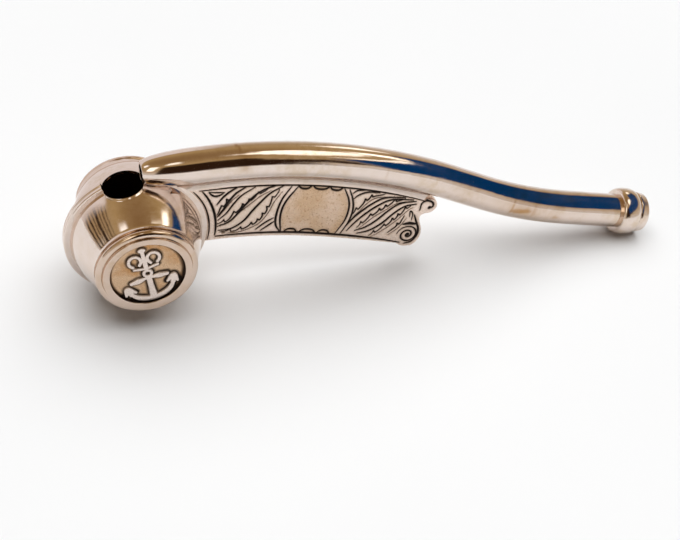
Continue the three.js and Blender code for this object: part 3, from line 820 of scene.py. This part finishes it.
# Each line of the section starts where it leaves the band's circle: |start + s * direction| = circle,
# a quadratic in s. A line that never meets the circle begins a little way along instead.
circle = BAND_RADIUS - BAND_OVERLAP
along_x, along_z = np.cos(MUZZLE_HEADING), np.sin(MUZZLE_HEADING)
from_x, from_z = MUZZLE[0] - section_n * along_z, MUZZLE[1] + section_n * along_x
half_b = from_x * along_x + from_z * along_z
under_root = half_b ** 2 - (from_x ** 2 + from_z ** 2 - circle ** 2)
section_start = np.where(under_root > 0, -half_b + np.sqrt(np.maximum(under_root, 0)), 2.0)
saddle_s = section_start[:, None] + (SADDLE_END - section_start[:, None]) * np.linspace(0, 1, 131)
saddle_x, saddle_z = beside_gun(saddle_s, section_n[:, None])
saddle_points = in_frame(saddle_x, section_y[:, None], saddle_z)
saddle = grid_piece("saddle", saddle_points, lids=swept_lids(*saddle_s.shape))
place_piece(saddle, "gun_saddle", "polished_plate")

# %% [markdown]
# ## The keel's outline
# The keel is a flat plate sawn to shape: its left end fits the band, its lower edge follows the gun,
# and its right end is a scroll below and a smaller volute above with a curved cut between them. Four
# edge curves are written in (s, n). Blending opposite edges and taking away the blend of the corners
# (a Coons patch) fills the outline with a grid whose own border is the sawn edge.

# %% Keel measures
KEEL_TOP, KEEL_DEPTH, KEEL_LENGTH, KEEL_RISE = -4.75, 17.65, 60.7, 1.5
KEEL_HALF_THICKNESS, KEEL_EDGE_ROUNDING = 1.0, 0.3
SCROLL_RADIUS, SCROLL_DROP = 2.95, 13.7
VOLUTE_RADIUS, VOLUTE_S, VOLUTE_DROP = 1.78, 61.4, 6.0
NOTCH_TURN, WAIST_TURN = -1.75, 0.2

scroll = np.array(beside_gun(KEEL_LENGTH, -SCROLL_DROP))
volute = np.array(beside_gun(VOLUTE_S, -VOLUTE_DROP))
keel_slope = np.degrees(gun_line(KEEL_LENGTH)[2])


def arc(centre, radius, start, end, count=60):
    """Points of a circle between two angles in degrees."""
    angle = np.radians(np.linspace(start, end, count))
    return centre + radius * np.stack([np.cos(angle), np.sin(angle)], axis=1)


def on_circle(centre, radius, angle):
    """The point of a circle at one angle in radians."""
    return centre + radius * np.array([np.cos(angle), np.sin(angle)])


def evenly(line, count):
    """The same line again, with its points at even distances along it."""
    length = np.concatenate([[0], np.cumsum(np.linalg.norm(np.diff(line, axis=0), axis=1))])
    way = np.linspace(0, 1, count) * length[-1]
    return np.stack([np.interp(way, length, line[:, i]) for i in (0, 1)], axis=1)


def in_gun_terms(line):
    """Points in x and z, given again as (s, n)."""
    return np.stack(along_gun(line[:, 0], line[:, 1]), axis=1)


def lower_edge(s):
    """The lower edge's n: level, then rising with the cube of the way along the second half."""
    return -KEEL_DEPTH + KEEL_RISE * np.clip(2 * s / KEEL_LENGTH - 1, 0, 1) ** 3


# %% Keel edges
collar_angle = np.radians(np.linspace(-22, 52, 400))
collar_circle = (BAND_RADIUS - BAND_OVERLAP) * np.stack([np.cos(collar_angle), np.sin(collar_angle)], 1)
collar = in_gun_terms(collar_circle)
left_edge = collar[(collar[:, 1] > -KEEL_DEPTH) & (collar[:, 1] < KEEL_TOP)]

scroll_foot = in_gun_terms(arc(scroll, SCROLL_RADIUS, keel_slope - 175, keel_slope - 48))
low_s = np.linspace(12.0, scroll_foot[-1, 0], 400)
low_n = np.minimum(np.where(low_s < scroll_foot[:, 0].max(), lower_edge(low_s), 0),
                   np.interp(low_s, scroll_foot[:, 0], scroll_foot[:, 1], left=0))
bottom_edge = np.stack([low_s, low_n], axis=1)[low_s > left_edge[0, 0]]

# The sawn cut between the scroll and the volute is a cubic curve with two control points.
waist = on_circle(scroll, SCROLL_RADIUS, WAIST_TURN)
notch = on_circle(volute, VOLUTE_RADIUS, NOTCH_TURN)
share = np.linspace(0, 1, 40)[:, None]
sawn_cut = ((1 - share) ** 3 * waist + 3 * (1 - share) ** 2 * share * (waist + [0.3, 1.25])
            + 3 * (1 - share) * share ** 2 * (notch + [-2.6, -0.30]) + share ** 3 * notch)
scroll_side = arc(scroll, SCROLL_RADIUS, keel_slope - 48, 11)
volute_side = arc(volute, VOLUTE_RADIUS, np.degrees(NOTCH_TURN), keel_slope + 62)
right_edge = np.concatenate([in_gun_terms(scroll_side), in_gun_terms(sawn_cut)[1:],
                             in_gun_terms(volute_side)[1:]])

volute_top = in_gun_terms(arc(volute, VOLUTE_RADIUS, keel_slope + 140, keel_slope + 62))
volute_top = volute_top[volute_top[:, 1] > KEEL_TOP + 0.02]
top_s = np.concatenate([left_edge[-1:, 0], np.linspace(left_edge[-1, 0] + 0.5, volute_top[0, 0] - 0.1, 80)])
top_edge = np.concatenate([np.stack([top_s, np.full(len(top_s), KEEL_TOP)], axis=1), volute_top])

bottom_edge[0], bottom_edge[-1] = left_edge[0], right_edge[0]
top_edge[-1], left_edge[-1] = right_edge[-1], top_edge[0]

# %% Keel grid
KEEL_COLUMNS, KEEL_ROWS = 760, 118


def coons_patch(columns, rows):
    """(1 - v) bottom + v top + (1 - u) left + u right, less the four corners blended by both."""
    bottom, top = evenly(bottom_edge, columns), evenly(top_edge, columns)
    left, right_side = evenly(left_edge, rows), evenly(right_edge, rows)
    u, v = np.linspace(0, 1, columns)[:, None, None], np.linspace(0, 1, rows)[None, :, None]
    corners = ((1 - u) * (1 - v) * bottom[0] + u * (1 - v) * bottom[-1]
               + (1 - u) * v * top[0] + u * v * top[-1])
    return ((1 - v) * bottom[:, None] + v * top[:, None] + (1 - u) * left[None]
            + u * right_side[None] - corners)


keel_sn = coons_patch(KEEL_COLUMNS, KEEL_ROWS)
across_u, across_v = np.diff(keel_sn, axis=0)[:, :-1], np.diff(keel_sn, axis=1)[:-1]
turned_over = (across_u[..., 0] * across_v[..., 1] - across_u[..., 1] * across_v[..., 0] < 0).sum()
print("keel grid", keel_sn.shape[:2], "with", turned_over, "cells turned over")

# %% [markdown]
# ## The keel's engraving
# The engraver cut a border, then two panels of acanthus fronds either side of a plain shaped
# cartouche, and finished each scroll with a spiral. A frond here is a set of long ribs and a leaf edge
# with saw teeth and a fine vein beside it. The cuts are filled with dark oxide, and the surface between
# them is polished.

# %% Engraving
BORDER_TOP, BORDER_BOTTOM = -5.35, -16.75
COLLAR_LINE = 15.1
SCROLL_TURNS, SPIRAL_START, SPIRAL_END = 2.0, 2.3, 0.3
TOOTH_HEIGHT, LEAF_CUT, VEIN_CUT = 0.65, 0.15, 0.07
VEIN_SHIFT = np.array([0.45, -0.35])


def ribs():
    """Frond ribs as (places in s and n, half-width): each runs up from the lower left in a long S."""
    return [
        ([(14.3, -9.1), (15.6, -7.4), (17.0, -6.2), (18.4, -5.4)], 0.20),
        ([(14.5, -12.1), (15.6, -10.6), (16.8, -8.6), (18.2, -6.8), (20.2, -5.4)], 0.20),
        ([(14.6, -12.9), (16.4, -11.4), (17.9, -9.2), (19.4, -7.4), (22.0, -5.6)], 0.16),
        ([(14.6, -14.4), (17.2, -13.5), (19.0, -11.6), (20.4, -9.7), (22.4, -7.4), (24.4, -6.1),
          (26.4, -5.4)], 0.20),
        ([(14.8, -15.4), (17.8, -15.2), (20.4, -13.6), (22.0, -11.4), (23.6, -9.3), (25.4, -7.2),
          (28.0, -5.4)], 0.20),
        ([(23.4, -15.9), (25.4, -14.3), (27.1, -13.2)], 0.17),
        ([(24.6, -16.2), (26.4, -14.9), (27.4, -14.1)], 0.17),
        ([(43.2, -6.5), (44.0, -5.7), (45.6, -5.4)], 0.15),
        ([(43.8, -7.9), (44.8, -6.6), (46.6, -5.7), (49.0, -5.5)], 0.16),
        ([(44.5, -15.2), (45.7, -12.3), (47.1, -10.1), (48.7, -8.1), (50.8, -6.4), (55.2, -5.4)], 0.20),
        ([(45.5, -15.5), (46.8, -12.9), (48.2, -10.7), (50.0, -8.5), (52.4, -6.6), (57.2, -5.5)], 0.20),
        ([(47.4, -15.2), (49.6, -14.0), (51.4, -12.0), (53.0, -9.2), (54.8, -7.0), (58.0, -5.7)], 0.20),
        ([(48.2, -15.8), (50.8, -14.7), (53.0, -12.5), (54.6, -9.5), (56.2, -7.4), (58.4, -6.3)], 0.20),
    ]


def leaf_edges():
    """Serrated leaf edges as (places in s and n, number of teeth)."""
    return [
        ([(14.6, -13.7), (16.8, -13.2), (19.0, -11.0), (21.0, -9.2), (23.0, -7.4), (25.0, -6.2)], 6),
        ([(14.4, -11.6), (15.6, -10.0), (16.9, -8.2), (18.4, -6.8)], 3),
        ([(15.2, -15.8), (18.8, -15.9), (21.6, -15.1), (23.8, -13.8), (25.3, -11.4), (26.1, -8.9),
          (27.4, -6.5)], 8),
        ([(45.0, -11.6), (46.0, -9.9), (46.9, -7.9), (48.2, -6.5), (50.4, -5.8)], 4),
        ([(47.6, -14.4), (48.8, -12.6), (50.2, -10.6), (51.8, -8.8), (53.4, -6.9), (55.4, -5.9)], 6),
        ([(51.4, -15.9), (53.0, -14.4), (54.6, -12.4), (55.9, -10.2), (56.8, -8.0), (57.6, -6.9)], 6),
        ([(55.6, -14.4), (56.8, -12.8), (57.4, -11.2), (57.6, -9.6)], 2),
    ]


def serrated(places, teeth):
    """A leaf's edge: the curve through the places, pushed to its left by a sawtooth that rises with the
    cube of the way along each tooth and then drops straight back. A slow sine makes the teeth uneven."""
    line = smooth_curve(places, 24)
    run = np.diff(line, axis=0, append=2 * line[-1:] - line[-2:-1])
    run /= np.linalg.norm(run, axis=1)[:, None]
    way = np.linspace(0, 1, len(line))
    tooth = (way * teeth + 0.18 * np.sin(11 * way)) % 1
    return line + TOOTH_HEIGHT * (tooth ** 3)[:, None] * np.stack([-run[:, 1], run[:, 0]], axis=1)


def scallop(s, half, edge, deep):
    """One bow of a scalloped edge, from the edge at s - half to the edge at s + half."""
    return ([(s - half, edge), (s - 0.55 * half, edge + deep), (s, edge + 1.25 * deep),
             (s + 0.55 * half, edge + deep), (s + half, edge)], 0.19)


def cartouche():
    """Two bowed double lines, and three scallops along the top and the bottom."""
    sides = [([(29.6, -5.6), (28.1, -8.9), (27.6, -12.4), (28.0, -15.0), (29.3, -16.6)], 0.19),
             ([(31.0, -5.6), (29.0, -9.5), (28.6, -12.9), (29.5, -16.6)], 0.19),
             ([(41.0, -5.6), (42.9, -8.1), (43.8, -10.5), (43.9, -13.4), (42.9, -16.5)], 0.17),
             ([(42.2, -5.7), (43.8, -8.0), (44.8, -10.4), (45.0, -13.3), (44.2, -16.5)], 0.17)]
    top = [scallop(s, half, BORDER_TOP, -0.62) for s, half in ((32.4, 1.5), (35.9, 1.9), (39.2, 1.5))]
    foot = [scallop(s, half, BORDER_BOTTOM + 0.1, 0.62)
            for s, half in ((31.8, 1.6), (35.9, 2.1), (39.9, 1.6))]
    return sides + top + foot


def borders_and_corners():
    """The two border lines, the small leaves in the corners and the lines that lead into the scrolls."""
    along_border = np.linspace(14.2, 60.0, 24)
    rise = np.clip((along_border - 40) / 20, 0, 1)
    return [
        (np.stack([along_border, BORDER_BOTTOM + 0.8 * rise ** 1.5], axis=1), 0.22),
        (np.stack([np.linspace(10.8, 59.5, 24), BORDER_TOP + 0.25 * rise], axis=1), 0.16),
        ([(12.6, -6.0), (13.5, -6.9), (14.6, -7.0), (15.7, -6.4)], 0.18),
        ([(12.6, -5.9), (14.4, -6.2), (15.8, -6.3)], 0.12),
        ([(58.6, -9.5), (58.0, -8.2), (58.9, -8.7), (59.5, -10.2)], 0.13),
        ([(58.2, -11.6), (59.6, -11.0), (61.2, -10.8)], 0.30),
        ([(59.4, -8.8), (60.8, -10.2), (62.3, -11.6), (63.0, -13.1), (62.7, -15.0), (61.2, -15.9)], 0.20),
        ([(60.0, -7.5), (59.5, -5.8), (60.3, -4.9), (61.7, -5.0), (62.3, -5.8), (61.6, -6.6)], 0.19),
    ]


def engraving_lines():
    """Every cut as (curve in x and z, half-width)."""
    drawn_by_gun = ribs() + cartouche() + borders_and_corners()
    curves = [(smooth_curve(places, 6), width) for places, width in drawn_by_gun]
    for places, teeth in leaf_edges():
        curves += [(serrated(places, teeth), LEAF_CUT), (smooth_curve(places, 6) + VEIN_SHIFT, VEIN_CUT)]
    drawn = [(np.stack(beside_gun(*curve.T), axis=1), width) for curve, width in curves]
    collar_lines = [(arc([0, 0], COLLAR_LINE, 35, -8, 14), 0.20),
                    (arc([0, 0], BAND_RADIUS + 0.25, 40, -12, 14), 0.12)]
    turns = np.linspace(0, SCROLL_TURNS * 2 * np.pi, 60)
    reach = SPIRAL_START - (SPIRAL_START - SPIRAL_END) * turns / turns[-1]
    spiral = scroll + reach[:, None] * np.stack([np.cos(2.9 - turns), np.sin(2.9 - turns)], axis=1)
    return drawn + collar_lines + [(spiral, 0.18)]


def dots():
    """Round cuts as (centre, radius): the eyes of the two spirals."""
    return [(scroll + (0.05, 0.0), 0.55), (volute + (0.15, -0.35), 0.42)]


# %% Cut depth, halo and field over the keel's face
CUT_DEPTH, CUT_STEEPNESS, DOT_STEEPNESS = 0.14, 2.8, 1.6
LINE_WIDTH, HALO_WIDTH = 1.5, 0.55
FIELD_EDGE = 0.4

keel_s, keel_n = keel_sn[..., 0], keel_sn[..., 1]
keel_x, keel_z = beside_gun(keel_s, keel_n)
keel_places = np.stack([keel_x, keel_z], axis=-1).reshape(-1, 2)
cut, halo = np.zeros((2, len(keel_places)))
for curve, half_width in engraving_lines():
    on_line, near_line = line_reach(keel_places, curve, tapered(curve, half_width * LINE_WIDTH), HALO_WIDTH)
    cut, halo = np.maximum(cut, on_line), np.maximum(halo, near_line)
for centre, dot_radius in dots():
    from_dot = np.linalg.norm(keel_places - centre, axis=1) / dot_radius
    cut = np.maximum(cut, np.clip(DOT_STEEPNESS * (1 - from_dot), 0, 1))
cut = np.clip(cut * CUT_STEEPNESS, 0, 1).reshape(keel_s.shape)
halo = halo.reshape(keel_s.shape)
print("cut share of the keel's face:", round(float((cut > 0.3).mean()), 3))


def inside_edge(distance):
    """0 outside the cartouche's field, 1 well inside it."""
    return np.clip(distance / FIELD_EDGE, 0, 1)


bow_left = np.interp(-keel_n, [5.6, 9.5, 12.9, 16.6], [31.0, 29.0, 28.6, 29.5])
bow_right = np.interp(-keel_n, [5.6, 8.1, 10.5, 13.4, 16.5], [41.0, 42.9, 43.8, 43.9, 42.9])
field = (inside_edge(keel_s - bow_left) * inside_edge(bow_right - keel_s)
         * inside_edge(BORDER_TOP - keel_n) * inside_edge(keel_n - BORDER_BOTTOM))

# %% [markdown]
# ## The keel's two faces
# The plate is made as two closed halves that meet in the middle of its thickness, so that each stays
# light enough while its grid is fine enough to hold the engraving. Near its outline the face curves
# back to round the sawn edge, and one flat face closes each half where they meet.

# %% Keel halves
def from_outline(grid):
    """Each grid point's distance from the outline, measured along the grid's own two lines."""
    step_u = np.linalg.norm(np.diff(grid, axis=0), axis=2)
    step_v = np.linalg.norm(np.diff(grid, axis=1), axis=2)
    along_u = np.concatenate([np.zeros((1, grid.shape[1])), step_u.cumsum(0)])
    along_v = np.concatenate([np.zeros((grid.shape[0], 1)), step_v.cumsum(1)], axis=1)
    return np.minimum.reduce([along_u, along_u[-1] - along_u, along_v, along_v[:, -1:] - along_v])


to_edge = np.clip(KEEL_EDGE_ROUNDING - from_outline(keel_sn), 0, KEEL_EDGE_ROUNDING)
edge_drop = KEEL_EDGE_ROUNDING - np.sqrt(KEEL_EDGE_ROUNDING ** 2 - to_edge ** 2)
for name, side in (("near_keel_face", -1), ("far_keel_face", 1)):
    face = in_frame(keel_x, side * (KEEL_HALF_THICKNESS - CUT_DEPTH * cut - edge_drop), keel_z)
    half = backed_piece(name, face, {"oxide": cut, "halo": halo, "field": field}, 0.0)
    place_piece(half, "keel_plate", "engraved_plate")

# %% [markdown]
# ## Floor, world and reflectors
# A mirror shows its surroundings, so lighting polished metal means deciding what it reflects. The floor
# is plain and pale and is lit by one broad soft lamp. Over it stands a quiet warm gradient, pale at the
# horizon and bronze overhead, which only mirror-like rays see. The panels below stand in front of it.

# %% Floor
FLOOR_HALF = 3.0
floor = bpy.data.objects.new("floor", bpy.data.meshes.new("floor"))
floor_corners = [(x * FLOOR_HALF, y * FLOOR_HALF, 0) for x, y in ((-1, -1), (1, -1), (1, 1), (-1, 1))]
floor.data.from_pydata(floor_corners, [], [(0, 1, 2, 3)])
bpy.context.scene.collection.objects.link(floor)
floor_paint, tree = new_material("pale_floor")
shade = blend_colours(tree, noise(tree, 9.0, detail=2.0), (0.86, 0.86, 0.86), (0.90, 0.90, 0.90))
add(tree, "OutputMaterial", Surface=add(tree, "BsdfDiffuse", Color=shade).outputs["BSDF"])
floor.data.materials.append(floor_paint)

# %% Lamp
LAMP_STRENGTH, LAMP_SPREAD, LAMP_DIRECTION = 3.6, np.radians(90), (0.15, 0.25, 1.0)

lamp = bpy.data.objects.new("broad_lamp", bpy.data.lights.new("broad_lamp", "SUN"))
bpy.context.scene.collection.objects.link(lamp)
lamp.data.energy, lamp.data.angle = LAMP_STRENGTH, LAMP_SPREAD
lamp.rotation_mode = "QUATERNION"
lamp.rotation_quaternion = Vector(LAMP_DIRECTION).normalized().to_track_quat("Z", "Y")
lamp.visible_glossy = False
print("one lamp, hidden from mirror-like rays, from", LAMP_DIRECTION)

# %% World
WORLD_STOPS = [(0.0, (0.72, 0.68, 0.65)), (0.12, (0.70, 0.65, 0.58)), (0.26, (0.63, 0.53, 0.41)),
               (0.5, (0.45, 0.33, 0.19)), (0.8, (0.46, 0.32, 0.15)), (1.0, (0.28, 0.17, 0.075))]
PLAIN_BACKDROP = (0.93, 0.93, 0.93, 1.0)

world = bpy.data.worlds.new("studio")
bpy.context.scene.world = world
world.use_nodes = True
world.node_tree.nodes.clear()
tree = world.node_tree
height = add(tree, "SeparateXYZ", Vector=add(tree, "TexCoord").outputs["Generated"]).outputs["Z"]
colours = add(tree, "ValToRGB", Fac=height)
for stop, (place, colour) in enumerate(WORLD_STOPS):
    element = colours.color_ramp.elements[stop] if stop < 2 else colours.color_ramp.elements.new(place)
    element.position, element.color = place, (*colour, 1.0)
warm = add(tree, "Background", Color=colours.outputs["Color"], Strength=1.0)
plain = add(tree, "Background", Color=PLAIN_BACKDROP, Strength=1.0)
to_camera = add(tree, "LightPath").outputs["Is Camera Ray"]
seen = add(tree, "MixShader", i0=to_camera, i1=warm.outputs[0], i2=plain.outputs[0])
add(tree, "OutputWorld", Surface=seen.outputs[0])
world.cycles_visibility.diffuse = False

# %% [markdown]
# ## Reflectors
# Each panel is a patch of a sphere that glows and fades out at its edges, hidden from the camera and from
# every ray that isn't mirror-like. Pale paper wraps the left, cream soft boxes make the bright streaks, a
# deep blue cloth close by runs along the gun, and dark flags and slats give the metal its dark lines.

# %% Panels
PANEL_DISTANCE = 0.9
PANEL_COLUMNS, PANEL_ROWS = 33, 25
stage_centre = (cad_low + cad_high) / 2


def panel(name, azimuth, elevation, half_wide, half_high, colour, strength, soft,
          centre=stage_centre, distance=PANEL_DISTANCE):
    """A patch of a sphere round the centre, azimuth from +Y towards +X, glowing evenly and fading out
    over the outer share `soft` of its half sizes. All angles are in degrees."""
    u, v = np.meshgrid(np.linspace(-1, 1, PANEL_COLUMNS), np.linspace(-1, 1, PANEL_ROWS), indexing="ij")
    az, el = np.radians(azimuth + half_wide * u), np.radians(elevation + half_high * v)
    outward = np.stack([np.sin(az) * np.cos(el), np.cos(az) * np.cos(el), np.sin(el)], axis=-1)
    points = distance * outward + np.array(centre)
    fade = np.clip((1 - np.abs(u)) / soft, 0, 1) * np.clip((1 - np.abs(v)) / soft, 0, 1)
    mesh = bpy.data.meshes.new(name)
    mesh.from_pydata(points.reshape(-1, 3).tolist(), [], grid_faces(*u.shape).tolist())
    layer = mesh.attributes.new("fade", "FLOAT", "POINT")
    layer.data.foreach_set("value", (fade * fade * (3 - 2 * fade)).astype(np.float32).ravel())
    paint, tree = new_material(name)
    glow = add(tree, "Emission", Color=(*colour, 1.0), Strength=strength)
    clear = add(tree, "BsdfTransparent")
    faded = add(tree, "MixShader", i0=painted(tree, "fade"), i1=clear.outputs[0], i2=glow.outputs[0])
    add(tree, "OutputMaterial", Surface=faded.outputs[0])
    mesh.materials.append(paint)
    card = bpy.data.objects.new(name, mesh)
    bpy.context.scene.collection.objects.link(card)
    card.visible_camera = card.visible_diffuse = card.visible_shadow = card.visible_transmission = False


CREAM, WHITE, PAPER, DARK = (1.0, 0.95, 0.84), (1.0, 0.98, 0.95), (0.86, 0.79, 0.77), (0.030, 0.013, 0.006)
BLUE, BRONZE = (0.001, 0.044, 0.165), (0.42, 0.29, 0.155)
ARCH_MIDDLE, CLOTH_DISTANCE = (-0.004, 0.0, 0.025), 0.15
FAR_SIDE, TENT_DISTANCE = (-0.049, 0.011, 0.012), 0.018
PANELS = [
    ("back_paper", -28, 20, 42, 23, PAPER, 1.0, 0.2),
    ("paper_tent", -20, 30, 80, 55, PAPER, 0.97, 0.05, FAR_SIDE, TENT_DISTANCE),
    ("cream_soft_box", 111, 62, 31, 13.5, CREAM, 1.9, 0.35),
    ("cream_strip", 112, 41.5, 30, 2.6, CREAM, 1.5, 0.5),
    ("low_soft_box", 42, 36, 10, 9, CREAM, 2.0, 0.7),
    ("front_soft_box", -146, 42, 13, 16, CREAM, 1.9, 0.4),
    ("rim_strip", 192, 66, 10, 8, CREAM, 1.5, 0.5),
    ("left_soft_box", -98, 56, 15, 9, WHITE, 1.5, 0.5),
    ("dome_soft_box", 79, 47, 10, 8, CREAM, 2.3, 0.6),
    ("bronze_wall", -68, 20, 17, 22, BRONZE, 1.0, 0.35, stage_centre, 1.0),
    ("blue_cloth", 103, 24.5, 44, 14.5, BLUE, 1.0, 0.15, ARCH_MIDDLE, CLOTH_DISTANCE),
    ("dark_flag", 177, 27, 22, 26, DARK, 1.0, 0.25),
    ("dark_strip", 156, 24, 14, 9, DARK, 1.0, 0.4),
]
SLATS = ((38, 0.7), (33, 1.1), (28, 0.8), (22, 2.8), (16.5, 0.9), (11, 1.7), (5, 1.6))

for measures in PANELS:
    panel(*measures)
for height, half_high in SLATS:
    panel("slat_%d" % height, -76, height, 22, half_high, DARK, 1.0, 0.4)
bpy.context.scene.view_settings.view_transform = "Standard"
print("reflectors:", len(PANELS) + len(SLATS))
